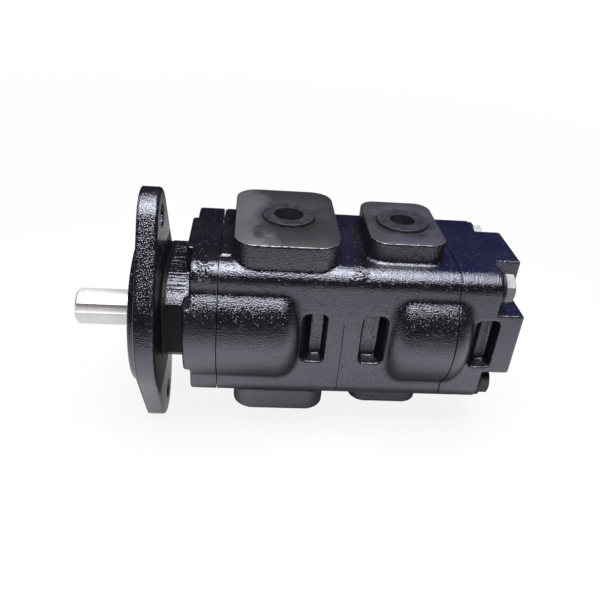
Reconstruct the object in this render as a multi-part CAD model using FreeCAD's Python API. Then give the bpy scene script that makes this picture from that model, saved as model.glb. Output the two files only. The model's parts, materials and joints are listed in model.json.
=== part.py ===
import FreeCAD, Part
import math
import os

# A tandem external gear pump. Two gear sections share one shaft line inside four bolted castings.
# Lengths are in millimetres. X runs along the drive shaft towards the rear, Y runs from the drive
# shaft to the idler gears, and Z is up. The origin is the centre of the mounting face, on the shaft axis.

V = FreeCAD.Vector

# Gear train
gear_centres = 42.0          # drive axis to idler axis
gear_teeth = 12
pressure_angle = 20.0        # degrees
addendum_factor = 0.9        # tooth tip above the pitch circle, in modules
dedendum_factor = 1.2        # tooth root below the pitch circle, in modules
tooth_thinning = 0.16        # taken off each flank at the pitch circle, as backlash
front_gear_width = 39.6
rear_gear_width = 27.6
tip_clearance = 0.3          # gear tip to pocket wall
side_clearance = 0.2         # gear face to pressure plate

# Shafts and bushes
journal_r = 14.0
running_clearance = 0.05     # radial, journal in bush
bush_wall = 2.0
bush_length = 22.0
bush_chamfer = 0.4
journal_end_gap = 1.0        # journal end to the floor of a blind bore
shaft_r = 12.7
shaft_extension = 47.6       # from the mounting face to the end of the shaft
shaft_chamfer = 2.0
shaft_step_back = 1.0        # the thicker land starts this far in front of the mounting face
keyway_width = 6.35
keyway_depth = 3.2
keyway_length = 41.0
keyway_angle = 156.0         # degrees about the shaft, from +Y towards +Z

# Coupling between the two drive shafts
spline_teeth = 14
spline_tip_r = 11.0
spline_root_r = 9.6
spline_tip_share = 0.36      # tooth width at the tip, as a share of the tooth spacing
spline_root_share = 0.62
spline_clearance = 0.12
shaft_gap = 2.4              # between the two shaft ends
sleeve_r = 15.5
sleeve_end_gap = 0.3
sleeve_cavity_clearance = 2.0

# Pressure plates and seals
plate_thickness = 8.0
plate_clearance = 0.1        # plate to pocket wall
plate_bore_clearance = 0.4   # plate to journal
plate_seal_r = 21.2          # middle of the seal track about each journal
plate_seal_width = 2.6
plate_seal_depth = 2.0
relief_length = 9.0          # relief pockets beside the tooth mesh, on the gear side of a plate
relief_height = 4.0
relief_depth = 1.5
relief_offset = 7.5          # from the line of gear centres to the middle of a relief pocket
section_seal_r = 29.0
middle_seal_r = 22.0
section_seal_width = 2.4
section_seal_depth = 1.8
seal_clearance = 0.1         # seal to the side walls of its groove
lip_seal_r = 21.0
lip_seal_width = 9.5
lip_seal_front = 0.5         # from the mounting face to the front of the seal
lip_seal_height = 1.2        # how far the lip stands proud of the shell's inner wall
lip_seal_lip_width = 2.5
lip_clearance = 0.08
snap_ring_width = 1.75
snap_ring_height = 3.2
snap_groove_depth = 1.3      # into the wall of the seal bore
snap_ring_gap = 9.0          # opening between the ends of the ring
snap_clearance = 0.1
drain_clearance = 1.2        # bore behind the lip seal, about the shaft land

# Mounting flange, a two-bolt pattern with a round pilot
flange_bolt_spacing = 146.0
flange_hole_r = 7.15
flange_thickness = 13.5
flange_length = 182.0
flange_tip_r = 24.0
flange_middle_r = 58.0
flange_front_edge_r = 1.0
flange_back_edge_r = 2.5
pilot_r = 50.8
pilot_height = 4.8
pilot_chamfer = 1.0
neck_length = 16.0
neck_drive_r = 32.5
neck_idler_r = 30.5
neck_flat = 26.5             # from the drive axis to the flat on the near side of the neck

# Outside shape shared by the castings
body_half_width = 52.5       # along Y, from the middle between the gear axes
body_half_height = 52.3
body_corner_r = 12.8
bulge_r = 46.0               # round wall about each gear axis
bulge_foot_r = 7.5
rib_half_width = 24.4        # the crossed ribs at both ends of the pump
rib_corner_r = 4.0
cover_plate_length = 22.5
cover_rib_height = 3.8
cover_edge_r = 1.6
front_housing_length = 86.2
rear_housing_length = 75.8
end_cover_length = 48.7
end_rib_height = 19.2
end_bulge_length = 14.5      # how far the bulges run on over the end cover
end_edge_r = 1.6

# Side windows
window_width = 17.5
window_half_height = 19.4
window_corner_r = 3.5
window_depth = 10.5
window_gap = 1.5             # from the end of a bulge to the window beside it
window_draft = 1.5
window_slope = 7.0           # how far the wall beside a bulge leans in
middle_window_slope = 4.0
window_floor_r = 1.5

# Ports
boss_height = 15.1           # above the body
boss_foot_r = 3.0
front_boss_length = 71.0
front_boss_width = 95.8
front_boss_corner_r = 15.0
front_boss_offset = 44.5     # from the front of the housing to the middle of the boss
front_lower_boss_length = 67.0
front_lower_boss_offset = 45.6
rear_boss_length = 52.5
rear_boss_width = 73.0
rear_boss_corner_r = 12.0
rear_boss_offset = 40.6
front_port_offset = 46.2     # from the front of the housing to the port axis
rear_port_offset = 41.0
outlet_bore_r = 15.5         # core of a 1 5/16-12 thread
front_inlet_bore_r = 19.5    # core of a 1 5/8-12 thread
rear_inlet_bore_r = 15.5
port_depth = 22.0
port_chamfer = 1.5
gallery_r = 9.0
plug_rim_r = 18.3
plug_rim_height = 1.8
plug_rim_edge_r = 0.6
plug_depth = 12.0
plug_clearance = 0.3
front_plug_hole_r = 10.4
rear_plug_hole_r = 8.8
plug_floor = 2.8
pad_length = 7.0             # low pad in front of the front outlet boss
pad_width = 32.0
pad_height = 1.4
pad_offset = 1.0             # from the front of the housing
pad_y = 2.0

# Through bolts and dowels
bolt_r = 6.0
bolt_hole_clearance = 0.6
bolt_thread_clearance = 0.05
bolt_tip_wall = 3.0          # metal left in front of the blind threaded hole
bolt_tip_gap = 1.0
bolt_head_height = 7.0
bolt_head_flats = 19.0
bolt_head_chamfer_angle = 35.0
bolt_tip_chamfer = 1.0
washer_r = 12.0
washer_thickness = 2.2
washer_clearance = 0.5
washer_chamfer = 0.4
dowel_r = 4.0
dowel_length = 16.0
dowel_offset = 42.0          # from the line of gear centres
dowel_clearance = 0.02
dowel_chamfer = 0.6
pry_slot_length = 18.0
pry_slot_width = 1.8
pry_slot_depth = 4.0
pry_slot_offset = 5.0        # from the far side wall

match_tolerance = 0.01       # edges this near to a plane or a surface are taken to lie on it

# Places that follow from the sizes above
mid_y = gear_centres / 2.0
near_y = mid_y - body_half_width
far_y = mid_y + body_half_width
cover_rib_x = flange_thickness + neck_length
cover_lobe_x = cover_rib_x + cover_rib_height
front_joint_x = cover_rib_x + cover_plate_length
middle_joint_x = front_joint_x + front_housing_length
rear_joint_x = middle_joint_x + rear_housing_length
end_x = rear_joint_x + end_cover_length
end_lobe_x = end_x - end_rib_height
end_bulge_x = rear_joint_x + end_bulge_length
module = gear_centres / gear_teeth
pitch_r = gear_centres / 2.0
tip_r = pitch_r + addendum_factor * module
root_r = pitch_r - dedendum_factor * module
pocket_r = tip_r + tip_clearance
bush_r = journal_r + running_clearance + bush_wall
sleeve_cavity_r = sleeve_r + sleeve_cavity_clearance
front_pocket_end = front_joint_x + 2 * (plate_thickness + side_clearance) + front_gear_width
rear_pocket_start = rear_joint_x - 2 * (plate_thickness + side_clearance) - rear_gear_width
front_gear_x = front_joint_x + plate_thickness + side_clearance
rear_gear_x = rear_pocket_start + plate_thickness + side_clearance
front_bush_x = front_joint_x - bush_length
front_bush_end = front_pocket_end + bush_length
rear_bush_x = rear_pocket_start - bush_length
rear_bush_end = rear_joint_x + bush_length
coupling_x = 0.5 * (front_bush_end + rear_bush_x)
seal_bore_floor = lip_seal_front + lip_seal_width
bolt_y = body_half_width - body_corner_r
bolt_z = body_half_height - body_corner_r
boss_z = body_half_height + boss_height
front_port_x = front_joint_x + front_port_offset
rear_port_x = middle_joint_x + rear_port_offset
axes = (0.0, gear_centres)
bolt_places = [(mid_y + sy * bolt_y, sz * bolt_z) for sy in (-1, 1) for sz in (1, -1)]
dowel_places = [(mid_y, dowel_offset), (mid_y, -dowel_offset)]


def box(x0, x1, y0, y1, z0, z1):
    return Part.makeBox(x1 - x0, y1 - y0, z1 - z0, V(x0, y0, z0))


def rod(r, x0, x1, y=0.0, z=0.0):
    return Part.makeCylinder(r, x1 - x0, V(x0, y, z), V(1, 0, 0))


def post(r, x, y, z0, z1):
    return Part.makeCylinder(r, z1 - z0, V(x, y, z0), V(0, 0, 1))


def join(*shapes):
    return shapes[0].fuse(list(shapes[1:])).removeSplitter()


def along_x(wire, length):
    return Part.Face(wire).extrude(V(length, 0, 0))


def turned(points, y=0.0, z=0.0):
    # Solid of revolution about an axis along X. Points are (x, radius) pairs, in order.
    corners = [V(x, y, z + r) for x, r in points]
    corners.append(corners[0])
    return Part.Face(Part.makePolygon(corners)).revolve(V(0, y, z), V(1, 0, 0), 360)


def rounded_rectangle(place, half_a, half_b, r):
    # Closed outline with round corners. place(a, b) turns plane coordinates into a point.
    s = r * math.sqrt(0.5)
    corners = []
    for sign_a, sign_b in ((1, 1), (-1, 1), (-1, -1), (1, -1)):
        a = sign_a * (half_a - r)
        b = sign_b * (half_b - r)
        ends = [place(a + sign_a * r, b), place(a, b + sign_b * r)]
        if sign_a * sign_b < 0:
            ends.reverse()
        corners.append((ends[0], place(a + sign_a * s, b + sign_b * s), ends[1]))
    outline = []
    for i, (start, middle, end) in enumerate(corners):
        outline.append(Part.Arc(start, middle, end).toShape())
        outline.append(Part.LineSegment(end, corners[(i + 1) % 4][0]).toShape())
    return Part.Wire(outline)


def hull_outline(x, circles, upright):
    # Circles in a row, each (place, radius), joined by their outer tangents on the plane X = x.
    # The row runs along Z when upright, and along Y otherwise.
    def at(i, angle, side):
        s = circles[i][0] + circles[i][1] * math.sin(angle)
        t = side * circles[i][1] * math.cos(angle)
        return V(x, t, s) if upright else V(x, s, t)

    slopes = [math.asin((r0 - r1) / (s1 - s0)) for (s0, r0), (s1, r1) in zip(circles, circles[1:])]
    last = len(circles) - 1
    quarter = math.pi / 2
    edges = []
    for side in (1, -1):
        for i, slope in enumerate(slopes):
            edges.append(Part.LineSegment(at(i, slope, side), at(i + 1, slope, side)).toShape())
            if i > 0:
                middle = at(i, 0.5 * (slopes[i - 1] + slope), side)
                edges.append(Part.Arc(at(i, slopes[i - 1], side), middle, at(i, slope, side)).toShape())
    edges.append(Part.Arc(at(0, slopes[0], 1), at(0, -quarter, 1), at(0, slopes[0], -1)).toShape())
    edges.append(Part.Arc(at(last, slopes[-1], 1), at(last, quarter, 1), at(last, slopes[-1], -1)).toShape())
    return Part.Wire(Part.__sortEdges__(edges))


def racetrack(r, x0, x1):
    return along_x(hull_outline(x0, [(y, r) for y in axes], False), x1 - x0)


def twin_discs(r, x0, x1):
    # Figure of eight about both gear axes.
    return join(*[rod(r, x0, x1, y) for y in axes])


def lies_on(edge, surface):
    span = edge.LastParameter - edge.FirstParameter
    for share in (0.1, 0.5, 0.9):
        point = edge.valueAt(edge.FirstParameter + share * span)
        if surface.distToShape(Part.Vertex(point))[0] > match_tolerance:
            return False
    return True


def meeting_edges(shape, first, second):
    # Edges of a joined shape along which two surfaces meet.
    return [e for e in shape.Edges if lies_on(e, first) and lies_on(e, second)]


def plane_at(x):
    # Large face across the pump at one place along it.
    reach = flange_length
    corners = [V(x, -reach, -reach), V(x, reach, -reach), V(x, reach, reach), V(x, -reach, reach)]
    return Part.Face(Part.makePolygon(corners + corners[:1]))


def body_block(x0, x1):
    def place(a, b):
        return V(x0, mid_y + a, b)

    return along_x(rounded_rectangle(place, body_half_width, body_half_height, body_corner_r), x1 - x0)


def bulge(y, x0, x1, round_start, round_end):
    # Round wall about one gear axis. A rounded end comes down to the side wall in a quarter circle.
    drop = bulge_r - (body_half_width - mid_y)
    low = bulge_r - drop
    s = drop * math.sqrt(0.5)
    left = x0 + (drop if round_start else 0.0)
    right = x1 - (drop if round_end else 0.0)
    foot_start = V(x0, y, low if round_start else bulge_r)
    foot_end = V(x1, y, low if round_end else bulge_r)
    top_start = V(left, y, bulge_r)
    top_end = V(right, y, bulge_r)
    edges = [Part.LineSegment(V(x0, y, 0), foot_start).toShape()]
    if round_start:
        edges.append(Part.Arc(foot_start, V(left - s, y, low + s), top_start).toShape())
    edges.append(Part.LineSegment(top_start, top_end).toShape())
    if round_end:
        edges.append(Part.Arc(top_end, V(right + s, y, low + s), foot_end).toShape())
    edges.append(Part.LineSegment(foot_end, V(x1, y, 0)).toShape())
    edges.append(Part.LineSegment(V(x1, y, 0), V(x0, y, 0)).toShape())
    return Part.Face(Part.Wire(edges)).revolve(V(0, y, 0), V(1, 0, 0), 360)


def front_bulges():
    return join(*[bulge(y, cover_rib_x, front_pocket_end, False, True) for y in axes])


def rear_bulges():
    return join(*[bulge(y, rear_pocket_start, end_bulge_x, True, True) for y in axes])


def bulged_block(x0, x1, bulges):
    # One casting's length of the body, with its share of the round walls.
    block = body_block(x0, x1)
    reach = flange_length
    share = bulges.common(box(x0, x1, -reach, reach, -reach, reach))
    shape = join(block, share)
    return shape.makeFillet(bulge_foot_r, meeting_edges(shape, block.Shells[0], share.Shells[0]))


def crossed_ribs(x0, x1, outline):
    # Two crossed ribs with rounded inner corners, trimmed to the outline of the casting.
    reach = flange_length
    flat = box(x0, x1, -reach, reach, -rib_half_width, rib_half_width)
    upright = box(x0, x1, mid_y - rib_half_width, mid_y + rib_half_width, -reach, reach)
    cross = join(flat, upright)
    inner = meeting_edges(cross, flat.Shells[0], upright.Shells[0])
    inner = [e for e in inner if abs(e.CenterOfMass.x - 0.5 * (x0 + x1)) < match_tolerance]
    return cross.makeFillet(rib_corner_r, inner).common(outline)


def boss(x, length, width, corner_r, side):
    def place(a, b):
        return V(x + a, mid_y + b, 0)

    outline = rounded_rectangle(place, length / 2.0, width / 2.0, corner_r)
    return Part.Face(outline).extrude(V(0, 0, side * boss_z))


def with_boss(block, one):
    shape = join(block, one)
    return shape.makeFillet(boss_foot_r, meeting_edges(shape, block.Shells[0], one.Shells[0]))


def window(x0, lean_start, lean_end, side):
    # Cored pocket in a side wall. The lean is how far each end wall slopes in on its way to the floor.
    wall_y = near_y if side < 0 else far_y
    x1 = x0 + window_width
    low = -window_half_height

    def at(depth):
        y = wall_y - side * depth
        share = depth / window_depth
        return [V(x0 + lean_start * share, y, low), V(x1 - lean_end * share, y, low)]

    outer = at(-window_depth)
    corners = at(window_depth) + outer[::-1]
    pocket = Part.Face(Part.makePolygon(corners + corners[:1])).extrude(V(0, 0, 2 * window_half_height))
    uprights = []
    for edge in pocket.Edges:
        ends = [v.Point for v in edge.Vertexes]
        if abs(ends[0].y - ends[1].y) > window_depth:
            uprights.append(edge)
    pocket = pocket.makeFillet(window_corner_r, uprights)
    floor_y = wall_y - side * window_depth
    floor_edges = []
    for edge in pocket.Edges:
        if all(abs(v.Point.y - floor_y) < match_tolerance for v in edge.Vertexes):
            floor_edges.append(edge)
    pocket = pocket.makeFillet(window_floor_r, floor_edges)
    return pocket.common(box(x0, x1, near_y - window_depth, far_y + window_depth, low, -low))


def port_bore(x, r, side):
    # Threaded port with a mouth chamfer, open to the gallery under it.
    top = side * boss_z
    depth = side * port_depth
    bore = Part.makeCylinder(r, port_depth, V(x, mid_y, top - depth), V(0, 0, side))
    mouth_z = top - side * port_chamfer
    mouth = Part.makeCone(r, r + port_chamfer, port_chamfer, V(x, mid_y, mouth_z), V(0, 0, side))
    return bore.fuse(mouth)


def gallery(x0, x1):
    # Cored passage from the tooth mesh up to the outlet and down to the inlet.
    reach = boss_z - port_depth
    slot = box(x0, x1, mid_y - gallery_r, mid_y + gallery_r, -reach, reach)
    return join(slot, post(gallery_r, x0, mid_y, -reach, reach), post(gallery_r, x1, mid_y, -reach, reach))


def bolt_holes(x0, x1, clearance):
    return [rod(bolt_r + clearance, x0, x1, y, z) for y, z in bolt_places]


def dowel_holes(x):
    half = 0.5 * dowel_length + dowel_clearance
    return [rod(dowel_r + dowel_clearance, x - half, x + half, y, z) for y, z in dowel_places]


def ring(outline, r, width, x0, depth):
    # Closed band of one width that follows an outline, for seals and their grooves.
    return outline(r + 0.5 * width, x0, x0 + depth).cut(outline(r - 0.5 * width, x0, x0 + depth))


def make_mounting_cover():
    tip_z = 0.5 * flange_length - flange_tip_r
    circles = [(-tip_z, flange_tip_r), (0.0, flange_middle_r), (tip_z, flange_tip_r)]
    flange = along_x(hull_outline(0.0, circles, True), flange_thickness)
    rim = flange.Shells[0]
    flange = flange.makeFillet(flange_back_edge_r, meeting_edges(flange, plane_at(flange_thickness), rim))
    flange = flange.makeFillet(flange_front_edge_r, meeting_edges(flange, plane_at(0.0), rim))

    circles = [(0.0, neck_drive_r), (gear_centres, neck_idler_r)]
    neck_end = cover_lobe_x + cover_edge_r
    neck = along_x(hull_outline(flange_thickness, circles, False), neck_end - flange_thickness)
    neck = neck.cut(box(flange_thickness, neck_end, -neck_drive_r, -neck_flat, -neck_drive_r, neck_drive_r))

    plate = bulged_block(cover_lobe_x, front_joint_x, front_bulges())
    plate = plate.makeFillet(cover_edge_r, meeting_edges(plate, plane_at(cover_lobe_x), plate.Shells[0]))
    outline = join(body_block(cover_rib_x, front_joint_x), front_bulges())
    ribs = crossed_ribs(cover_rib_x, cover_lobe_x + cover_edge_r, outline)
    ribs = ribs.makeFillet(cover_edge_r, meeting_edges(ribs, plane_at(cover_rib_x), ribs.Shells[0]))
    cover = join(plate, ribs)

    pilot = turned([(-pilot_height, 0.0), (-pilot_height, pilot_r - pilot_chamfer),
                    (-pilot_height + pilot_chamfer, pilot_r), (0.0, pilot_r), (0.0, 0.0)])
    cover = join(cover, flange, neck, pilot)

    groove_x = -pilot_height + snap_ring_width
    cuts = [rod(lip_seal_r, -pilot_height, seal_bore_floor),
            rod(lip_seal_r + snap_groove_depth, groove_x - snap_ring_width, groove_x + snap_clearance),
            rod(journal_r + drain_clearance, seal_bore_floor, front_bush_x)]
    cuts += [rod(bush_r, front_bush_x, front_joint_x, y) for y in axes]
    cuts += bolt_holes(cover_lobe_x + bolt_tip_wall, front_joint_x, bolt_thread_clearance)
    cuts += dowel_holes(front_joint_x)
    cuts.append(ring(racetrack, section_seal_r, section_seal_width, front_joint_x - section_seal_depth,
                     section_seal_depth))
    for sign in (1, -1):
        cuts.append(rod(flange_hole_r, 0.0, flange_thickness, 0.0, sign * 0.5 * flange_bolt_spacing))
    return cover.cut(cuts)


def make_front_housing():
    block = bulged_block(front_joint_x, middle_joint_x, front_bulges())
    upper = boss(front_joint_x + front_boss_offset, front_boss_length, front_boss_width,
                 front_boss_corner_r, 1)
    lower = boss(front_joint_x + front_lower_boss_offset, front_lower_boss_length, front_boss_width,
                 front_boss_corner_r, -1)
    housing = with_boss(with_boss(block, upper), lower)
    pad_x = front_joint_x + pad_offset
    pad = box(pad_x, pad_x + pad_length, pad_y - 0.5 * pad_width, pad_y + 0.5 * pad_width,
              body_half_height - pad_height, body_half_height + pad_height)
    housing = join(housing, pad)
    pry_y = far_y - pry_slot_offset
    seal_x = middle_joint_x - section_seal_depth
    cuts = [twin_discs(pocket_r, front_joint_x, front_pocket_end),
            rod(sleeve_cavity_r, front_bush_end, middle_joint_x),
            gallery(front_joint_x + plate_thickness + 0.5 * front_gear_width, front_port_x),
            port_bore(front_port_x, outlet_bore_r, 1),
            port_bore(front_port_x, front_inlet_bore_r, -1),
            ring(rod, middle_seal_r, section_seal_width, seal_x, section_seal_depth),
            box(front_joint_x, front_joint_x + pry_slot_width, pry_y - pry_slot_length, pry_y,
                body_half_height - pry_slot_depth, body_half_height)]
    cuts += [rod(bush_r, front_pocket_end, front_bush_end, y) for y in axes]
    cuts += bolt_holes(front_joint_x, middle_joint_x, bolt_hole_clearance)
    cuts += dowel_holes(front_joint_x) + dowel_holes(middle_joint_x)
    cuts += [window(front_pocket_end + window_gap, window_slope, window_draft, side) for side in (-1, 1)]
    return housing.cut(cuts)


def make_rear_housing():
    block = bulged_block(middle_joint_x, rear_joint_x, rear_bulges())
    housing = block
    for side in (1, -1):
        housing = with_boss(housing, boss(middle_joint_x + rear_boss_offset, rear_boss_length, rear_boss_width,
                                          rear_boss_corner_r, side))
    window_x = rear_pocket_start - window_gap - window_width
    cuts = [twin_discs(pocket_r, rear_pocket_start, rear_joint_x),
            rod(sleeve_cavity_r, middle_joint_x, rear_bush_x),
            gallery(rear_port_x, rear_gear_x + 0.5 * rear_gear_width),
            port_bore(rear_port_x, outlet_bore_r, 1),
            port_bore(rear_port_x, rear_inlet_bore_r, -1)]
    cuts += [rod(bush_r, rear_bush_x, rear_pocket_start, y) for y in axes]
    cuts += bolt_holes(middle_joint_x, rear_joint_x, bolt_hole_clearance)
    cuts += dowel_holes(middle_joint_x) + dowel_holes(rear_joint_x)
    cuts += [window(window_x, window_draft, middle_window_slope, side) for side in (-1, 1)]
    return housing.cut(cuts)


def make_end_cover():
    block = bulged_block(rear_joint_x, end_lobe_x, rear_bulges())
    block = block.makeFillet(end_edge_r, meeting_edges(block, plane_at(end_lobe_x), block.Shells[0]))
    ribs = crossed_ribs(end_lobe_x - end_edge_r, end_x, body_block(rear_joint_x, end_x))
    ribs = ribs.makeFillet(end_edge_r, meeting_edges(ribs, plane_at(end_x), ribs.Shells[0]))
    cover = join(block, ribs)
    cuts = [rod(bush_r, rear_joint_x, rear_bush_end, y) for y in axes]
    cuts += bolt_holes(rear_joint_x, end_lobe_x, bolt_hole_clearance)
    cuts += dowel_holes(rear_joint_x)
    cuts.append(ring(racetrack, section_seal_r, section_seal_width, rear_joint_x, section_seal_depth))
    cuts += [window(end_bulge_x + window_gap, window_slope, window_draft, side) for side in (-1, 1)]
    return cover.cut(cuts)


def chamfered_rod(r, chamfer, x0, x1, y=0.0, z=0.0):
    return turned([(x0, 0.0), (x0, r - chamfer), (x0 + chamfer, r), (x1 - chamfer, r), (x1, r - chamfer),
                   (x1, 0.0)], y, z)


def involute_angle(base_r, r):
    t = math.sqrt(max((r / base_r) ** 2 - 1.0, 0.0))
    return t - math.atan(t)


def gear(x0, width, y, phase):
    # Spur gear with involute flanks. A tooth is centred at the angle phase, from +Y towards +Z.
    base_r = pitch_r * math.cos(math.radians(pressure_angle))
    half_pitch = math.pi / gear_teeth
    half_base = 0.5 * half_pitch - tooth_thinning / pitch_r + involute_angle(base_r, pitch_r)
    flank_steps = 4
    radii = [base_r + (tip_r - base_r) * i / flank_steps for i in range(flank_steps + 1)]

    def place(r, angle):
        return V(x0, y + r * math.cos(angle), r * math.sin(angle))

    edges = []
    for i in range(gear_teeth):
        middle = phase + 2 * half_pitch * i
        rise = [place(r, middle - half_base + involute_angle(base_r, r)) for r in radii]
        fall = [place(r, middle + half_base - involute_angle(base_r, r)) for r in reversed(radii)]
        root_in = place(root_r, middle - half_base)
        root_out = place(root_r, middle + half_base)
        next_root = place(root_r, middle + 2 * half_pitch - half_base)
        edges.append(Part.LineSegment(root_in, rise[0]).toShape())
        for points in (rise, fall):
            flank = Part.BSplineCurve()
            flank.interpolate(points)
            edges.append(flank.toShape())
        edges.append(Part.Arc(rise[-1], place(tip_r, middle), fall[0]).toShape())
        edges.append(Part.LineSegment(fall[-1], root_out).toShape())
        edges.append(Part.Arc(root_out, place(root_r, middle + half_pitch), next_root).toShape())
    return along_x(Part.Wire(Part.__sortEdges__(edges)), width)


def spline_bar(x0, x1, clearance):
    # Straight-sided spline on the drive axis, grown outwards by the clearance.
    spacing = 2 * math.pi / spline_teeth
    corners = []
    for i in range(spline_teeth):
        for r, share in ((spline_root_r, -spline_root_share), (spline_tip_r, -spline_tip_share),
                         (spline_tip_r, spline_tip_share), (spline_root_r, spline_root_share)):
            angle = (i + 0.5 * share) * spacing + math.copysign(clearance / r, share)
            corners.append(V(x0, (r + clearance) * math.cos(angle), (r + clearance) * math.sin(angle)))
    return along_x(Part.makePolygon(corners + corners[:1]), x1 - x0)


def keyway():
    # Slot with a round inner end, cut into the near upper side of the shaft.
    half = 0.5 * keyway_width
    start = -shaft_extension
    end = start + keyway_length - half
    floor = shaft_r - keyway_depth
    slot = join(box(start, end, -half, half, floor, shaft_r + keyway_depth),
                post(half, end, 0.0, floor, shaft_r + keyway_depth))
    slot.rotate(V(0, 0, 0), V(1, 0, 0), keyway_angle - 90.0)
    return slot


def make_drive_shaft():
    land_x = -shaft_step_back
    shaft = turned([(-shaft_extension, 0.0), (-shaft_extension, shaft_r - shaft_chamfer),
                    (-shaft_extension + shaft_chamfer, shaft_r), (land_x, shaft_r), (land_x, journal_r),
                    (front_bush_end, journal_r), (front_bush_end, 0.0)])
    stub = spline_bar(front_bush_end, coupling_x - 0.5 * shaft_gap, 0.0)
    return join(shaft, stub, gear(front_gear_x, front_gear_width, 0.0, 0.0)).cut(keyway())


def make_rear_drive_gear():
    stub = spline_bar(coupling_x + 0.5 * shaft_gap, rear_bush_x, 0.0)
    journal = chamfered_rod(journal_r, bush_chamfer, rear_bush_x, rear_bush_end - journal_end_gap)
    return join(journal, stub, gear(rear_gear_x, rear_gear_width, 0.0, 0.0))


def make_idler(gear_x, width, x0, x1):
    journal = chamfered_rod(journal_r, bush_chamfer, x0 + journal_end_gap, x1 - journal_end_gap, gear_centres)
    return join(journal, gear(gear_x, width, gear_centres, math.pi / gear_teeth))


def make_coupling_sleeve():
    x0 = front_bush_end + sleeve_end_gap
    x1 = rear_bush_x - sleeve_end_gap
    return chamfered_rod(sleeve_r, bush_chamfer, x0, x1).cut(spline_bar(x0, x1, spline_clearance))


def make_bush(x0, y):
    return chamfered_rod(bush_r, bush_chamfer, x0, x0 + bush_length, y).cut(
        rod(journal_r + running_clearance, x0, x0 + bush_length, y))


def plate_seal_band(x0, clearance):
    return ring(twin_discs, plate_seal_r, plate_seal_width - 2 * clearance, x0, plate_seal_depth)


def make_pressure_plate(x0, gear_side):
    # The seal groove is on the side away from the gears, the relief pockets on the gear side.
    x1 = x0 + plate_thickness
    plate = twin_discs(pocket_r - plate_clearance, x0, x1)
    cuts = [rod(journal_r + plate_bore_clearance, x0, x1, y) for y in axes]
    groove_x = x0 if gear_side > 0 else x1 - plate_seal_depth
    cuts.append(plate_seal_band(groove_x, 0.0))
    relief_x = x1 - relief_depth if gear_side > 0 else x0
    y0 = mid_y - 0.5 * relief_length
    for sign in (1, -1):
        z0 = sign * relief_offset - 0.5 * relief_height
        cuts.append(box(relief_x, relief_x + relief_depth, y0, y0 + relief_length, z0, z0 + relief_height))
    return plate.cut(cuts)


def make_plate_seal(x0, gear_side):
    seal_x = x0 if gear_side > 0 else x0 + plate_thickness - plate_seal_depth
    return plate_seal_band(seal_x, seal_clearance)


def make_section_seal(outline, r, x0):
    return ring(outline, r, section_seal_width - 2 * seal_clearance, x0, section_seal_depth)


def make_shaft_seal():
    # Shell with a lip that runs on the shaft.
    x0 = lip_seal_front
    x1 = seal_bore_floor
    inner = journal_r + lip_clearance + lip_seal_height
    lip_x = 0.5 * (x0 + x1)
    half_lip = 0.5 * lip_seal_lip_width
    return turned([(x0, inner), (x0, lip_seal_r), (x1, lip_seal_r), (x1, inner), (lip_x + half_lip, inner),
                   (lip_x, inner - lip_seal_height), (lip_x - half_lip, inner)])


def make_retaining_ring():
    r = lip_seal_r + snap_groove_depth - snap_clearance
    x0 = -pilot_height + snap_clearance
    x1 = x0 + snap_ring_width - snap_clearance
    band = rod(r, x0, x1).cut(rod(r - snap_ring_height, x0, x1))
    return band.cut(box(x0, x1, -0.5 * snap_ring_gap, 0.5 * snap_ring_gap, 0.0, r))


def make_port_plug(x, hole_r):
    top = boss_z + plug_rim_height
    rim = post(plug_rim_r, x, mid_y, boss_z, top)
    edge = [e for e in rim.Edges if abs(e.CenterOfMass.z - top) < match_tolerance]
    rim = rim.makeFillet(plug_rim_edge_r, edge)
    body = post(outlet_bore_r - plug_clearance, x, mid_y, boss_z - plug_depth, boss_z + 0.5 * plug_rim_height)
    return join(rim, body).cut(post(hole_r, x, mid_y, boss_z - plug_depth + plug_floor, top))


def make_bolt(y, z):
    # Hex head with a vertex up, chamfered at its outer face.
    seat = end_lobe_x + washer_thickness
    top = seat + bolt_head_height
    corner_r = 0.5 * bolt_head_flats / math.cos(math.pi / 6)
    corners = []
    for i in range(6):
        angle = math.pi / 2 + i * math.pi / 3
        corners.append(V(seat, y + corner_r * math.cos(angle), z + corner_r * math.sin(angle)))
    head = along_x(Part.makePolygon(corners + corners[:1]), bolt_head_height)
    flat_r = 0.5 * bolt_head_flats
    drop = (corner_r - flat_r) * math.tan(math.radians(bolt_head_chamfer_angle))
    head = head.common(turned([(seat, 0.0), (seat, corner_r), (top - drop, corner_r), (top, flat_r),
                               (top, 0.0)], y, z))
    tip = cover_lobe_x + bolt_tip_wall + bolt_tip_gap
    shank = turned([(tip, 0.0), (tip, bolt_r - bolt_tip_chamfer), (tip + bolt_tip_chamfer, bolt_r),
                    (seat, bolt_r), (seat, 0.0)], y, z)
    return join(head, shank)


def make_washer(y, z):
    x1 = end_lobe_x + washer_thickness
    washer = turned([(end_lobe_x, 0.0), (end_lobe_x, washer_r), (x1 - washer_chamfer, washer_r),
                     (x1, washer_r - washer_chamfer), (x1, 0.0)], y, z)
    return washer.cut(rod(bolt_r + washer_clearance, end_lobe_x, x1, y, z))


def export(name, shape):
    shape.Solids[0].exportStep("parts/" + name + ".step")


os.makedirs("parts", exist_ok=True)

export("mounting_cover", make_mounting_cover())
export("front_gear_housing", make_front_housing())
export("rear_gear_housing", make_rear_housing())
export("end_cover", make_end_cover())

export("drive_shaft", make_drive_shaft())
export("coupling_sleeve", make_coupling_sleeve())
export("rear_drive_gear", make_rear_drive_gear())
export("front_idler_gear", make_idler(front_gear_x, front_gear_width, front_bush_x, front_bush_end))
export("rear_idler_gear", make_idler(rear_gear_x, rear_gear_width, rear_bush_x, rear_bush_end))

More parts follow.
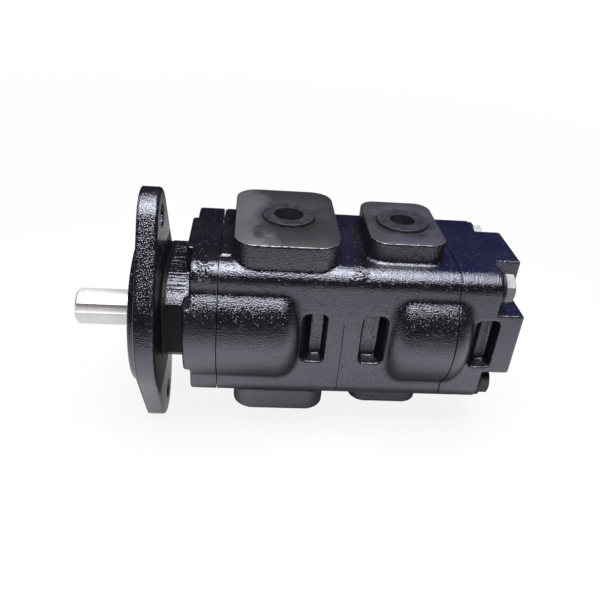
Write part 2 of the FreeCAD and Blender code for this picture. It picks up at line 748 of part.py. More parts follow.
bush_places = {"cover": front_bush_x, "front_housing": front_pocket_end, "rear_housing": rear_bush_x,
               "end_cover": rear_joint_x}
for place, x in bush_places.items():
    for line, y in zip(("drive", "idler"), axes):
        export(place + "_" + line + "_bush", make_bush(x, y))

# Each plate is named by its gear section and by the side of the gears that it is on.
plate_places = {"front_section_front": (front_joint_x, 1),
                "front_section_rear": (front_pocket_end - plate_thickness, -1),
                "rear_section_front": (rear_pocket_start, 1),
                "rear_section_rear": (rear_joint_x - plate_thickness, -1)}
for place, (x, gear_side) in plate_places.items():
    export(place + "_plate", make_pressure_plate(x, gear_side))
    export(place + "_plate_seal", make_plate_seal(x, gear_side))

export("front_joint_seal", make_section_seal(racetrack, section_seal_r, front_joint_x - section_seal_depth))
export("middle_joint_seal", make_section_seal(rod, middle_seal_r, middle_joint_x - section_seal_depth))
export("rear_joint_seal", make_section_seal(racetrack, section_seal_r, rear_joint_x))
export("shaft_seal", make_shaft_seal())
export("seal_retaining_ring", make_retaining_ring())
export("front_port_plug", make_port_plug(front_port_x, front_plug_hole_r))
export("rear_port_plug", make_port_plug(rear_port_x, rear_plug_hole_r))

for joint, x in (("front", front_joint_x), ("middle", middle_joint_x), ("rear", rear_joint_x)):
    for level, (y, z) in zip(("upper", "lower"), dowel_places):
        dowel = chamfered_rod(dowel_r, dowel_chamfer, x - 0.5 * dowel_length, x + 0.5 * dowel_length, y, z)
        export(joint + "_joint_" + level + "_dowel", dowel)

for number, (y, z) in enumerate(bolt_places, 1):
    export("through_bolt_%d" % number, make_bolt(y, z))
    export("bolt_washer_%d" % number, make_washer(y, z))
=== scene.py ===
import json
import math

import bmesh
import bpy
from mathutils import Euler, Matrix, Vector


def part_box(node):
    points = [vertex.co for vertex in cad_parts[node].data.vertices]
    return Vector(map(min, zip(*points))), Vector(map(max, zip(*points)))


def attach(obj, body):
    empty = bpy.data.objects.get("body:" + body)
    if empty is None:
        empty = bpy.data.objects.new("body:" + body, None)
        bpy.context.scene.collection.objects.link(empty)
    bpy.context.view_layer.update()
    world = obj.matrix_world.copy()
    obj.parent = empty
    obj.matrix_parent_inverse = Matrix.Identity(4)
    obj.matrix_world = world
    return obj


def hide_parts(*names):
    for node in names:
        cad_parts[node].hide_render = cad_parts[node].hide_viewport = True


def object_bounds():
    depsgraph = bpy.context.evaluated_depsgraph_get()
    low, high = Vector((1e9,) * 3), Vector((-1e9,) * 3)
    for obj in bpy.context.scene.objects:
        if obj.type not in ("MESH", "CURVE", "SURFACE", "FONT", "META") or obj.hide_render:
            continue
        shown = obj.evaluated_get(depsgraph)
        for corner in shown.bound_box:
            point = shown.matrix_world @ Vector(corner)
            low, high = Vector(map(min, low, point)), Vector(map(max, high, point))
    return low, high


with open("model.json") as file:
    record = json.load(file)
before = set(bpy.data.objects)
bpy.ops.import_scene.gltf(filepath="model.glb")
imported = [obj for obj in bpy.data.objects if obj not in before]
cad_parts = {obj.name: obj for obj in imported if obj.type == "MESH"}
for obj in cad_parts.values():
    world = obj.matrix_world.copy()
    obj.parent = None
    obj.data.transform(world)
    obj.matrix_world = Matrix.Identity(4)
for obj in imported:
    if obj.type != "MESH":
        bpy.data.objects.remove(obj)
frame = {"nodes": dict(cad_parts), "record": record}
cad_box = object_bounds()

# The pump is looked at in metres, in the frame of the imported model. X runs along the drive shaft
# towards the end cover, Y towards the idler gears, and Z is up.
MM = 0.001

# Camera, at the photograph's view
camera_place = Vector((0.0705, -0.3962, 0.2525))
camera_azimuth = 5.61        # degrees, from +Y towards +X
camera_elevation = -31.16
camera_roll = 5.2
camera_lens = 38.75          # millimetres, as is the sensor's width
camera_sensor = 36.0
camera_near = 10 * MM

# Cast surfaces
casting_voxel = 0.8 * MM
casting_smoothing = 6        # passes, which round the edges as a sand mould does
lump_height = 0.14 * MM
lump_size = 8.0 * MM
machined_cut = 0.12 * MM     # taken off the milled boss faces, so that their edges are crisp
broken_edge = (0.3 * MM, 0.2 * MM)    # width and drop of the bright edge about a boss face
parting_gaps = (0.32 * MM, 0.24 * MM, 0.42 * MM)    # half of the line that shows at each joint
closed_above = 12 * MM       # the middle joint is painted over from this height up
face_depth = 1.0 * MM        # of the flange, kept as machined
weld_distance = 0.001 * MM   # closes the CAD mesh along its sharp edges, so that a cut leaves its holes open
cut_tolerance = 1e-7         # metres
sharp_angle = 50.0           # degrees between faces, from which an edge is shaded sharp

# Studio
floor_reach = 9.0
sheet_color = (0.85, 0.85, 0.85)
bench_color = (0.06, 0.055, 0.06)
sheet_radius = 0.12          # white sheet under the pump, which its lower sides mirror
sheet_fade = 0.32
sheet_narrowing = (0.6, 1.0, 1.0)
sheet_middle = (0.036, 0.0, 0.0)
shade_from = 0.075           # a painted shadow makes the sheet darker right under the pump
shade_to = 0.12
shade_depth = 0.1
floor_whiteness = 0.88       # how far the floor near the pump is plain white to the camera
white_from = 0.5             # further out it is all white
white_to = 1.2
room_dark = (0.016, 0.016, 0.024)
room_blue = (0.06, 0.06, 0.42)
blue_ways = (("X", 0.05, 0.35), ("Y", 0.3, 0.5), ("Z", 0.3, 0.42))    # the blue fades in along each direction
lamp_place = Vector((0.0, -0.23, 1.15))
lamp_size = (1.1, 1.1)
lamp_power = 28.0

# Paint and bare iron
gloss_paint = {"IOR": 2.2, "Specular_Tint": (0.84, 0.85, 1.0, 1.0)}
paint_base = (0.008, 0.008, 0.01)
paint_dark = (0.006, 0.006, 0.008)
paint_light = (0.012, 0.012, 0.015)
# bright bare iron, and the colour of the painted highlights on the paint's sharpest edges
bare_iron_and_painted_highlight = (0.3, 0.29, 0.31)
oiled_iron = (0.03, 0.028, 0.026)
sand_grain = 0.9 * MM

# On a milled boss face, measured from the middle of the port's plug, each with how far its border wanders
# a ragged black ring of painted shade, just outside the plug's rim
rim_shade_reach = (19.2 * MM, 19.6 * MM)
rim_shade_wander = 0.8 * MM
oil_reach = (19 * MM, 27 * MM)
oil_wander = 5 * MM
color_change = (-24 * MM, -12 * MM)
color_wander = 12 * MM

# Windows in the side walls
window_depth = 10.5 * MM
window_half_height = 19.4 * MM
side_walls = (-31.5 * MM, 73.5 * MM)
wall_edge = 1.5 * MM         # the dull paint, as painted shade, starts this far below a side wall
rear_edge = 2 * MM           # and ends this far in front of the rear face
slack = 1.0 * MM             # allowed about edges, which the smoothing moves

# Runs in the paint, each with its reach
flaws = ((Vector((0.043, -0.0265, 0.0465)), 0.008), (Vector((0.146, -0.0245, 0.0485)), 0.007))

# Mounting cover, with the neck between its flange and its plate
flange_back = 13.5 * MM
foot_end = flange_back + 4 * MM    # dull paint as painted shade all round the neck, from the flange's back to here
neck_end = 29.5 * MM
neck_reach = 46.0 * MM       # the neck's own finishes end this far above and below the shaft
ridges_from = 0.55 * neck_reach
bare_until = 0.5 * MM        # bare metal lies only in front of this
pilot_inside = 40.0 * MM     # the rim of the pilot lies further from the shaft, and is painted

# How much of a face's normal lies along an axis
faces_straight = 0.9
faces_partly = 0.5
milled_level = 0.97          # less than this on a boss is its sloped edge

# Places read from the frame
castings = ("mounting_cover", "front_gear_housing", "rear_gear_housing", "end_cover")
front_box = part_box("front_gear_housing")
rear_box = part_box("rear_gear_housing")
end_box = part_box("end_cover")
boss_z = front_box[1].z
cut_z = boss_z - machined_cut - broken_edge[1]    # the foot of the sloped edge about a boss face
floor_z = cad_box[0].z
centre = (cad_box[0] + cad_box[1]) / 2
joints = (front_box[0].x, rear_box[0].x, end_box[0].x)
port_places = [(plug[0] + plug[1]) / 2 for plug in (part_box("front_port_plug"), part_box("rear_port_plug"))]


def make_camera():
    data = bpy.data.cameras.new("camera")
    data.lens = camera_lens
    data.sensor_width = camera_sensor
    data.clip_start = camera_near
    camera = bpy.data.objects.new("camera", data)
    turn = Euler((math.radians(90.0 + camera_elevation), 0.0, -math.radians(camera_azimuth)))
    roll = Matrix.Rotation(math.radians(camera_roll), 4, "Z")
    camera.matrix_world = Matrix.Translation(camera_place) @ turn.to_matrix().to_4x4() @ roll
    bpy.context.scene.collection.objects.link(camera)
    bpy.context.scene.camera = camera


class Shader:
    """Nodes of one material, with short calls for the ones used here."""

    def __init__(self, name, color, roughness, metallic=0.0, **sockets):
        self.material = bpy.data.materials.new(name)
        self.material.use_nodes = True
        self.nodes = self.material.node_tree.nodes
        self.links = self.material.node_tree.links
        self.surface = self.nodes["Principled BSDF"]
        self.surface.inputs["Base Color"].default_value = (*color, 1.0)
        self.surface.inputs["Roughness"].default_value = roughness
        self.surface.inputs["Metallic"].default_value = metallic
        for socket, value in sockets.items():
            self.surface.inputs[socket.replace("_", " ")].default_value = value
        self.place = self.node("ShaderNodeTexCoord").outputs["Object"]

    def node(self, kind, **values):
        made = self.nodes.new(kind)
        for key, value in values.items():
            setattr(made, key, value)
        return made

    def link(self, output, target):
        self.links.new(output, target)

    def noise(self, size, detail=2.0, roughness=0.5, distortion=0.0, stretch=None):
        """Noise whose features are about size metres across."""
        made = self.node("ShaderNodeTexNoise")
        made.inputs["Scale"].default_value = 1.0 / size
        made.inputs["Detail"].default_value = detail
        made.inputs["Roughness"].default_value = roughness
        made.inputs["Distortion"].default_value = distortion
        source = self.place
        if stretch:
            mapping = self.node("ShaderNodeMapping")
            mapping.inputs["Scale"].default_value = stretch
            self.link(source, mapping.inputs["Vector"])
            source = mapping.outputs["Vector"]
        self.link(source, made.inputs["Vector"])
        return made.outputs["Fac"]

    def ramp(self, value, low, high, start=0.0, end=1.0):
        made = self.node("ShaderNodeMapRange")
        self.link(value, made.inputs["Value"])
        made.inputs["From Min"].default_value = start
        made.inputs["From Max"].default_value = end
        made.inputs["To Min"].default_value = low
        made.inputs["To Max"].default_value = high
        return made.outputs["Result"]

    def mix(self, share, first, second):
        made = self.node("ShaderNodeMix", data_type="RGBA")
        self.plug(share, made.inputs[0])
        self.plug(first, made.inputs[6])
        self.plug(second, made.inputs[7])
        return made.outputs[2]

    def plug(self, value, target):
        """Sets an input to a number or a colour, or links an output to it."""
        if isinstance(value, (int, float)):
            target.default_value = value
        elif isinstance(value, tuple):
            target.default_value = (*value, 1.0)
        else:
            self.link(value, target)

    def sum(self, first, second, operation="ADD"):
        """Two values put together by one operation, which adds them unless another is named."""
        made = self.node("ShaderNodeMath", operation=operation)
        self.plug(first, made.inputs[0])
        self.plug(second, made.inputs[1])
        return made.outputs[0]

    def bump(self, height, distance, after=None):
        made = self.node("ShaderNodeBump")
        made.inputs["Distance"].default_value = distance
        self.link(height, made.inputs["Height"])
        if after:
            self.link(after, made.inputs["Normal"])
        return made.outputs["Normal"]

    def grains(self, size):
        """Small rounded grains of about size metres, as of moulding sand."""
        made = self.node("ShaderNodeTexVoronoi", feature="SMOOTH_F1")
        made.inputs["Scale"].default_value = 1.0 / size
        made.inputs["Smoothness"].default_value = 0.3
        self.link(self.place, made.inputs["Vector"])
        return made.outputs["Distance"]

    def specks(self, apart, radius):
        """Round spots, about apart metres from each other."""
        made = self.node("ShaderNodeTexVoronoi")
        made.inputs["Scale"].default_value = 1.0 / apart
        self.link(self.place, made.inputs["Vector"])
        return self.ramp(made.outputs["Distance"], 1.0, 0.0, 0.5 * radius / apart, radius / apart)

    def distance(self, place):
        """Distance from a place on the pump, in metres."""
        made = self.node("ShaderNodeVectorMath", operation="DISTANCE")
        self.link(self.place, made.inputs[0])
        made.inputs[1].default_value = place
        return made.outputs["Value"]

    def runs(self, place, reach):
        """Runs of thick paint, which fade out within reach metres of a place."""
        folds = self.ramp(self.noise(3.2 * MM, 0.0, 0.5, 1.2, (0.5, 1.0, 1.0)), 0.0, 1.0, 0.4, 0.6)
        near = self.ramp(self.distance(place), 1.0, 0.0, 0.4 * reach, reach)
        return self.sum(folds, near, "MULTIPLY")

    def edge(self, low, high):
        """Rises from 0 to 1 where the surface turns outwards, on edges and corners."""
        geometry = self.node("ShaderNodeNewGeometry")
        return self.ramp(geometry.outputs["Pointiness"], 0.0, 1.0, low, high)

    def set(self, color=None, roughness=None, normal=None):
        for value, socket in ((color, "Base Color"), (roughness, "Roughness"), (normal, "Normal")):
            if value is not None:
                self.link(value, self.surface.inputs[socket])
        return self.material


def painted_iron(name):
    """Black gloss paint over sand-cast iron, with painted highlights of bright colour in places along its
    sharpest edges.
    """
    m = Shader(name, paint_base, 0.2, **gloss_paint)
    cloud = m.noise(30 * MM, 3.0)
    color = m.mix(m.ramp(cloud, 0.0, 1.0, 0.35, 0.65), paint_dark, paint_light)
    # painted highlight: bright colour on the sharpest edges, broken by noise, stands in for the lamp's glint
    # there
    worn_metal_and_painted_highlight = m.sum(m.edge(0.6, 0.66), m.ramp(m.noise(2.2 * MM, 3.0, 0.7), 0.0, 1.0, 0.52, 0.62), "MULTIPLY")
    color = m.mix(worn_metal_and_painted_highlight, color, bare_iron_and_painted_highlight)
    roughness = m.ramp(m.noise(5 * MM, 3.0), 0.1, 0.2, 0.3, 0.7)
    color = m.mix(m.specks(5 * MM, 0.3 * MM), color, (0.3, 0.3, 0.32))
    normal = m.bump(m.grains(sand_grain), 0.22 * MM)
    patches = m.ramp(m.noise(3 * MM, 2.0), 0.2, 1.0, 0.4, 0.6)
    normal = m.bump(m.sum(m.specks(1.25 * MM, 0.5 * MM), patches, "MULTIPLY"), 0.11 * MM, after=normal)
    for place, reach in flaws:
        normal = m.bump(m.runs(place, reach), 0.9 * MM, after=normal)
    return m.set(color, roughness, normal)


def machined_iron(name, middle, front, rear):
    """Bare milled iron in two colours, which meet in front of a port's middle.

    Old oil lies about the port, and a ragged black ring of painted shade lies just outside the plug's rim.
    The flange is too far from its middle to show either.
    """
    m = Shader(name, (0.12, 0.115, 0.12), 0.42, 0.5)
    parts = m.node("ShaderNodeSeparateXYZ")
    m.link(m.place, parts.inputs[0])
    stain = m.noise(14 * MM, 4.0, 0.6)
    along = m.sum(parts.outputs["X"], m.ramp(stain, -color_wander, color_wander, 0.3, 0.7))
    light = m.ramp(along, 1.0, 0.0, middle.x + color_change[0], middle.x + color_change[1])
    color = m.mix(light, rear, front)
    from_port = m.distance(middle)
    ring = m.sum(from_port, m.ramp(stain, -oil_wander, oil_wander, 0.3, 0.7))
    color = m.mix(m.ramp(ring, 0.55, 0.0, *oil_reach), color, oiled_iron)
    ragged = m.noise(1.5 * MM, 2.0, 0.6)
    to_rim_shade = m.sum(from_port, m.ramp(ragged, -rim_shade_wander, rim_shade_wander, 0.3, 0.7))
    # painted shade: a black ring at the foot of the plug's rim, glossier and bumped
    rim_shade_ring = m.ramp(to_rim_shade, 1.0, 0.0, *rim_shade_reach)
    color = m.mix(rim_shade_ring, color, paint_base)
    roughness = m.sum(m.ramp(stain, 0.36, 0.5, 0.3, 0.7), m.ramp(rim_shade_ring, 0.0, 0.25), "SUBTRACT")
    lines = m.bump(m.noise(1.2 * MM, 2.0, 0.5, 0.0, (1.0, 0.05, 1.0)), 0.03 * MM)
    return m.set(color, roughness, m.bump(m.sum(ragged, rim_shade_ring, "MULTIPLY"), 1.0 * MM, after=lines))


def rough_neck():
    """The top of the neck, where the paint lies over ridges along the shaft."""
    m = Shader("rough_neck", paint_base, 0.2, **gloss_paint)
    ridges = m.noise(2.8 * MM, 1.0, 0.5, 0.3, (0.16, 1.0, 1.0))
    color = m.mix(ridges, paint_dark, paint_light)
    grain = m.bump(m.grains(sand_grain), 0.24 * MM)
    return m.set(color, m.ramp(ridges, 0.14, 0.26), m.bump(ridges, 1.8 * MM, after=grain))


def worn_edge():
    """Bright metal where the edge of a milled face has lost its sharpness."""
    m = Shader("worn_edge", (0.25, 0.24, 0.26), 0.32, 0.8)
    worn_metal_and_painted_highlight = m.noise(2.5 * MM, 2.0, 0.6)
    color = m.mix(m.ramp(worn_metal_and_painted_highlight, 0.0, 1.0, 0.42, 0.6), (0.05, 0.048, 0.052), bare_iron_and_painted_highlight)
    return m.set(color, m.ramp(worn_metal_and_painted_highlight, 0.3, 0.42), m.bump(worn_metal_and_painted_highlight, 0.05 * MM))


def shade_paint():
    """Dark dull paint that paints the shade inside the windows and about the neck."""
    m = Shader("shade_paint", (0.006, 0.006, 0.008), 0.45, IOR=1.33)
    grain = m.noise(1.3 * MM, 2.0, 0.6)
    return m.set(m.mix(grain, (0.004, 0.004, 0.005), (0.009, 0.009, 0.011)), m.ramp(grain, 0.35, 0.5),
                 m.bump(grain, 0.4 * MM))


def ground_steel():
    m = Shader("ground_steel", (0.9, 0.88, 0.88), 0.42, 0.45)
    turned = m.noise(0.8 * MM, 2.0, 0.5, 0.0, (1.0, 0.02, 0.02))
    stain = m.ramp(m.noise(8 * MM, 4.0, 0.6), 0.0, 1.0, 0.58, 0.75)
    color = m.mix(stain, (0.93, 0.91, 0.91), (0.8, 0.7, 0.68))
    return m.set(color, m.ramp(turned, 0.36, 0.48, 0.3, 0.7), m.bump(turned, 0.01 * MM))


def zinc_plating():
    m = Shader("zinc_plating", (0.28, 0.28, 0.3), 0.36, 0.7)
    bloom = m.noise(3 * MM, 3.0)
    color = m.mix(m.ramp(bloom, 0.0, 1.0, 0.35, 0.7), (0.24, 0.24, 0.26), (0.32, 0.32, 0.34))
    return m.set(color, m.ramp(bloom, 0.3, 0.42, 0.3, 0.7), m.bump(m.noise(1.2 * MM), 0.06 * MM))


def black_bolt_paint():
    m = Shader("black_bolt_paint", (0.02, 0.02, 0.024), 0.35)
    bloom = m.ramp(m.noise(4 * MM, 3.0), 0.0, 1.0, 0.4, 0.7)
    color = m.mix(bloom, (0.014, 0.014, 0.018), (0.03, 0.03, 0.034))
    return m.set(color, m.ramp(m.noise(2 * MM), 0.28, 0.45), m.bump(m.noise(1.5 * MM), 0.08 * MM))


def plug_plastic():
    m = Shader("plug_plastic", (0.02, 0.02, 0.028), 0.5)
    haze = m.noise(5 * MM, 3.0)
    color = m.mix(m.ramp(haze, 0.0, 1.0, 0.35, 0.7), (0.016, 0.016, 0.023), (0.032, 0.032, 0.04))
    return m.set(color, m.ramp(haze, 0.42, 0.6, 0.3, 0.7), m.bump(m.noise(0.9 * MM), 0.03 * MM))


def seal_rubber():
    m = Shader("seal_rubber", (0.02, 0.02, 0.02), 0.65)
    haze = m.noise(3 * MM, 3.0)
    return m.set(m.mix(haze, (0.014, 0.014, 0.014), (0.03, 0.03, 0.03)), m.ramp(haze, 0.55, 0.75),
                 m.bump(m.noise(0.6 * MM), 0.02 * MM))


def bush_bronze():
    m = Shader("bush_bronze", (0.55, 0.38, 0.2), 0.35, 1.0)
    turned = m.noise(0.8 * MM, 2.0, 0.5, 0.0, (1.0, 0.02, 0.02))
    return m.set(m.mix(turned, (0.48, 0.32, 0.16), (0.62, 0.44, 0.24)), m.ramp(turned, 0.28, 0.42),
                 m.bump(turned, 0.01 * MM))


def plate_aluminium():
    m = Shader("plate_aluminium", (0.75, 0.75, 0.76), 0.35, 1.0)
    milled = m.noise(0.9 * MM, 2.0, 0.5, 0.0, (1.0, 1.0, 0.05))
    return m.set(m.mix(milled, (0.68, 0.68, 0.69), (0.8, 0.8, 0.81)), m.ramp(milled, 0.28, 0.42),
                 m.bump(milled, 0.01 * MM))


def give(piece, material):
    piece.data.materials.clear()
    piece.data.materials.append(material)


def dress_nodes(materials):
    """Gives each CAD node the material of its slot."""
    for part in frame["record"]["subparts"]:
        give(frame["nodes"][part["node"]], materials[part["material_slot"]])


def applied(piece):
    """Turns a piece with modifiers into a plain mesh."""
    bpy.context.view_layer.update()
    graph = bpy.context.evaluated_depsgraph_get()
    mesh = bpy.data.meshes.new_from_object(piece.evaluated_get(graph))
    piece.modifiers.clear()
    old = piece.data
    piece.data = mesh
    bpy.data.meshes.remove(old)


def cast_body():
    """One skin over all four castings, with rounded edges and the low lumps of a sand mould."""
    work = bmesh.new()
    for node in castings:
        work.from_mesh(frame["nodes"][node].data)
    mesh = bpy.data.meshes.new("cast_body")
    work.to_mesh(mesh)
    work.free()
    piece = bpy.data.objects.new("cast_body", mesh)
    bpy.context.scene.collection.objects.link(piece)
    remesh = piece.modifiers.new("remesh", "REMESH")
    remesh.mode = "VOXEL"
    remesh.voxel_size = casting_voxel
    smooth = piece.modifiers.new("smooth", "SMOOTH")
    smooth.factor = 0.5
    smooth.iterations = casting_smoothing
    lumps = bpy.data.textures.new("lumps", "CLOUDS")
    lumps.noise_scale = lump_size
    displace = piece.modifiers.new("lumps", "DISPLACE")
    displace.texture = lumps
    displace.texture_coords = "LOCAL"
    displace.strength = lump_height
    applied(piece)
    skin = piece.data
    bpy.data.objects.remove(piece)
    return skin


def slice_flat(work, place, way, edge=None):
    """Cuts a mesh flat, removes what lies on the far side and closes it with a new face.

    An edge of some width and drop slopes from the cut up to the new face, which is then raised by the drop.
    Gives back the points of the cut.
    """
    whole = work.verts[:] + work.edges[:] + work.faces[:]
    cut = bmesh.ops.bisect_plane(work, geom=whole, dist=cut_tolerance, plane_co=place, plane_no=way,
                                 clear_outer=True)
    rim = [e for e in cut["geom_cut"] if isinstance(e, bmesh.types.BMEdge)]
    corners = [v for v in cut["geom_cut"] if isinstance(v, bmesh.types.BMVert)]
    if edge:
        rim = sloped_edge(work, rim, corners, Vector(way), *edge)
    bmesh.ops.triangle_fill(work, use_beauty=True, use_dissolve=False, edges=rim, normal=way)
    return corners


def sloped_edge(work, rim, corners, way, width, drop):
    """Adds a band that slopes inwards from the rim of a cut, and gives back its inner rim."""
    raised = {}
    for v in corners:
        outwards = sum((face.normal for face in v.link_faces), Vector())
        outwards -= outwards.dot(way) * way
        raised[v] = work.verts.new(v.co - width * outwards.normalized() + drop * way)
    new_rim = []
    for e in rim:
        loop = e.link_loops[0]
        a, b = loop.vert, loop.link_loop_next.vert
        work.faces.new((b, a, raised[a], raised[b]))
        new_rim.append(work.edges.get((raised[a], raised[b])))
    return new_rim


def shade(mesh):
    mesh.shade_smooth()
    mesh.set_sharp_from_angle(angle=math.radians(sharp_angle))


def make_castings(materials):
    skin = cast_body()
    ends = (None, *joints, None)    # nothing is cut at the outer ends
    for node, x0, x1 in zip(castings, ends, ends[1:]):
        work = bmesh.new()
        work.from_mesh(skin)
        for joint, way in ((x0, -1), (x1, 1)):
            if joint in joints:
                gap = parting_gaps[joints.index(joint)]
                rim = slice_flat(work, (joint - way * gap, 0, 0), (way, 0, 0))
                if joint == joints[1]:
                    for v in rim:
                        if v.co.z > closed_above:
                            v.co.x = joint
        if node in ("front_gear_housing", "rear_gear_housing"):
            for way in (-1, 1):
                slice_flat(work, (0, 0, way * cut_z), (0, 0, way), broken_edge)
        if node == "mounting_cover":
            slice_flat(work, (face_depth, 0, 0), (-1, 0, 0))
            face = bmesh.new()
            face.from_mesh(frame["nodes"][node].data)
            bmesh.ops.remove_doubles(face, verts=face.verts, dist=weld_distance)
            slice_flat(face, (face_depth, 0, 0), (1, 0, 0))
            crisp = bpy.data.meshes.new("mounting_face")
            face.to_mesh(crisp)
            face.free()
            work.from_mesh(crisp)
        mesh = bpy.data.meshes.new(node + "_casting")
        work.to_mesh(mesh)
        work.free()
        piece = bpy.data.objects.new(node + "_casting", mesh)
        bpy.context.scene.collection.objects.link(piece)
        dress_casting(piece, node, materials)
        shade(mesh)
        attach(piece, "housing")
        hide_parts(node)


def dress_casting(piece, node, materials):
    """Paint, with bare metal on the milled faces, dull paint as painted shade in the windows, and the neck's
    own finishes.
    """
    mesh = piece.data
    mesh.materials.clear()
    bare = {"front_gear_housing": "bare_front", "rear_gear_housing": "bare_rear"}.get(node, "bare_flange")
    finishes = ("painted", bare, "painted_shade", "edge", "neck")
    for name in finishes:
        mesh.materials.append(materials[name])
    for face in mesh.polygons:
        c, n = face.center, face.normal
        if node == "mounting_cover":
            finish = cover_finish(c, n)
        elif abs(c.z) > cut_z and node != "end_cover":
            finish = bare if abs(n.z) > milled_level else "edge"
        else:
            # painted shade: dull dark paint on the side walls of the windows
            finish = "painted_shade" if in_window(c) and abs(n.x) > faces_partly else "painted"
        face.material_index = finishes.index(finish)


def cover_finish(place, normal):
    from_shaft = math.hypot(place.y, place.z)
    if place.x < bare_until and (normal.x < -faces_straight or from_shaft < pilot_inside):
        return "bare_flange"
    if flange_back - slack < place.x < neck_end and abs(place.z) < neck_reach:
        # painted shade: dull dark paint on the flange's back face and the foot of the neck
        if normal.x > faces_partly or place.x < foot_end:
            return "painted_shade"
        if place.z > ridges_from:
            return "neck"
        # painted shade: dull dark paint on the neck's near flat, between the flange and the cover plate
        if normal.y < -faces_straight:
            return "painted_shade"
    return "painted"


def in_window(place):
    """Below a side wall, in front of the rear face, and within the depth and height of the cored windows."""
    depth = min(place.y - side_walls[0], side_walls[1] - place.y)
    inside = wall_edge < depth < window_depth + slack and place.x < end_box[1].x - rear_edge
    return inside and abs(place.z) < window_half_height + slack


def make_floor():
    """White to the camera. For the pump's shine and bounce it is a white sheet on a dark bench."""
    mesh = bpy.data.meshes.new("floor")
    mesh.from_pydata([(-floor_reach, -floor_reach, 0), (floor_reach, -floor_reach, 0),
                      (floor_reach, floor_reach, 0), (-floor_reach, floor_reach, 0)], [], [(0, 1, 2, 3)])
    floor = bpy.data.objects.new("floor", mesh)
    floor.location = (centre.x, centre.y, floor_z)
    bpy.context.scene.collection.objects.link(floor)
    m = Shader("floor", sheet_color, 0.9)
    path = m.node("ShaderNodeLightPath")
    seen = path.outputs["Is Camera Ray"]
    narrow = m.node("ShaderNodeVectorMath", operation="MULTIPLY")
    narrow.inputs[1].default_value = sheet_narrowing
    m.link(m.place, narrow.inputs[0])
    distance = m.node("ShaderNodeVectorMath", operation="DISTANCE")
    distance.inputs[1].default_value = sheet_middle
    m.link(narrow.outputs["Vector"], distance.inputs[0])
    # painted shadow: the sheet's colour is darkened right under the pump
    sheet_and_painted_shadow = m.sum(m.ramp(distance.outputs["Value"], 1.0, 0.0, sheet_radius, sheet_radius + sheet_fade),
                  m.ramp(distance.outputs["Value"], shade_depth, 1.0, shade_from, shade_to), "MULTIPLY")
    shown = m.sum(sheet_and_painted_shadow, seen, "MAXIMUM")
    m.set(m.mix(shown, bench_color, sheet_color))
    white = m.node("ShaderNodeEmission")
    mix = m.node("ShaderNodeMixShader")
    bright = m.sum(m.sum(seen, path.outputs["Is Glossy Ray"], "MAXIMUM"), shown, "MULTIPLY")
    plain = m.node("ShaderNodeVectorMath", operation="LENGTH")
    m.link(m.place, plain.inputs[0])
    whiteness = m.ramp(plain.outputs["Value"], floor_whiteness, 1.0, white_from, white_to)
    m.link(m.sum(bright, whiteness, "MULTIPLY"), mix.inputs[0])
    m.link(m.surface.outputs[0], mix.inputs[1])
    m.link(white.outputs[0], mix.inputs[2])
    m.link(mix.outputs[0], m.nodes["Material Output"].inputs["Surface"])
    give(floor, m.material)


def make_lamp(name, place, target, size, power):
    data = bpy.data.lights.new(name, "AREA")
    data.shape = "RECTANGLE"
    data.size, data.size_y = size
    data.energy = power
    lamp = bpy.data.objects.new(name, data)
    lamp.location = place
    lamp.rotation_mode = "QUATERNION"
    lamp.rotation_quaternion = (Vector(target) - Vector(place)).to_track_quat("-Z", "Y")
    bpy.context.scene.collection.objects.link(lamp)


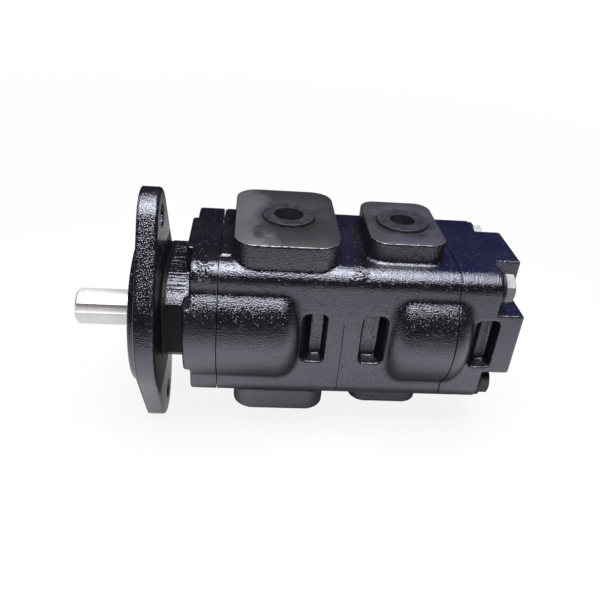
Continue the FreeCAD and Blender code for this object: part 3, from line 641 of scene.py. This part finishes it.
def make_world():
    """A dark room, blue beyond the pump's rear end, behind a white that only the camera sees."""
    world = bpy.data.worlds.new("studio")
    bpy.context.scene.world = world
    world.use_nodes = True
    nodes = world.node_tree.nodes
    links = world.node_tree.links
    nodes.clear()
    output = nodes.new("ShaderNodeOutputWorld")
    direction = nodes.new("ShaderNodeTexCoord")
    parts = nodes.new("ShaderNodeSeparateXYZ")
    links.new(direction.outputs["Generated"], parts.inputs[0])
    side = None
    for axis, start, end in blue_ways:
        share = nodes.new("ShaderNodeMapRange")
        share.inputs["From Min"].default_value = start
        share.inputs["From Max"].default_value = end
        links.new(parts.outputs[axis], share.inputs["Value"])
        if side:
            links.new(side.outputs[0], share.inputs["To Max"])
        side = share
    tint = nodes.new("ShaderNodeMix")
    tint.data_type = "RGBA"
    tint.inputs[6].default_value = (*room_dark, 1.0)
    tint.inputs[7].default_value = (*room_blue, 1.0)
    links.new(side.outputs[0], tint.inputs[0])
    room = nodes.new("ShaderNodeBackground")
    links.new(tint.outputs[2], room.inputs["Color"])
    white = nodes.new("ShaderNodeBackground")
    white.inputs["Color"].default_value = (1.0, 1.0, 1.0, 1.0)
    path = nodes.new("ShaderNodeLightPath")
    mix = nodes.new("ShaderNodeMixShader")
    links.new(path.outputs["Is Camera Ray"], mix.inputs[0])
    links.new(room.outputs[0], mix.inputs[1])
    links.new(white.outputs[0], mix.inputs[2])
    links.new(mix.outputs[0], output.inputs["Surface"])


make_camera()
scene = bpy.context.scene
scene.view_settings.view_transform = "Standard"
make_world()
make_floor()
make_lamp("key", centre + lamp_place, centre, lamp_size, lamp_power)

materials = {
    "painted": painted_iron("painted_iron"),
    "bare_front": machined_iron("bare_front", port_places[0], (0.16, 0.15, 0.17), (0.06, 0.056, 0.058)),
    "bare_rear": machined_iron("bare_rear", port_places[1], (0.085, 0.08, 0.085), (0.09, 0.088, 0.105)),
    "bare_flange": machined_iron("bare_flange", centre, (0.14, 0.13, 0.14), (0.14, 0.13, 0.14)),
    "painted_shade": shade_paint(),
    "edge": worn_edge(),
    "neck": rough_neck(),
    "black_cast_iron": painted_iron("black_cast_iron"),
    "ground_steel": ground_steel(),
    "zinc_plated_steel": zinc_plating(),
    "plug_plastic": plug_plastic(),
    "seal_rubber": seal_rubber(),
    "bush_bronze": bush_bronze(),
    "plate_aluminium": plate_aluminium(),
}
dress_nodes(materials)
black = black_bolt_paint()
for node in ("through_bolt_2", "through_bolt_4", *("bolt_washer_%d" % i for i in range(1, 5))):
    give(frame["nodes"][node], black)
make_castings(materials)
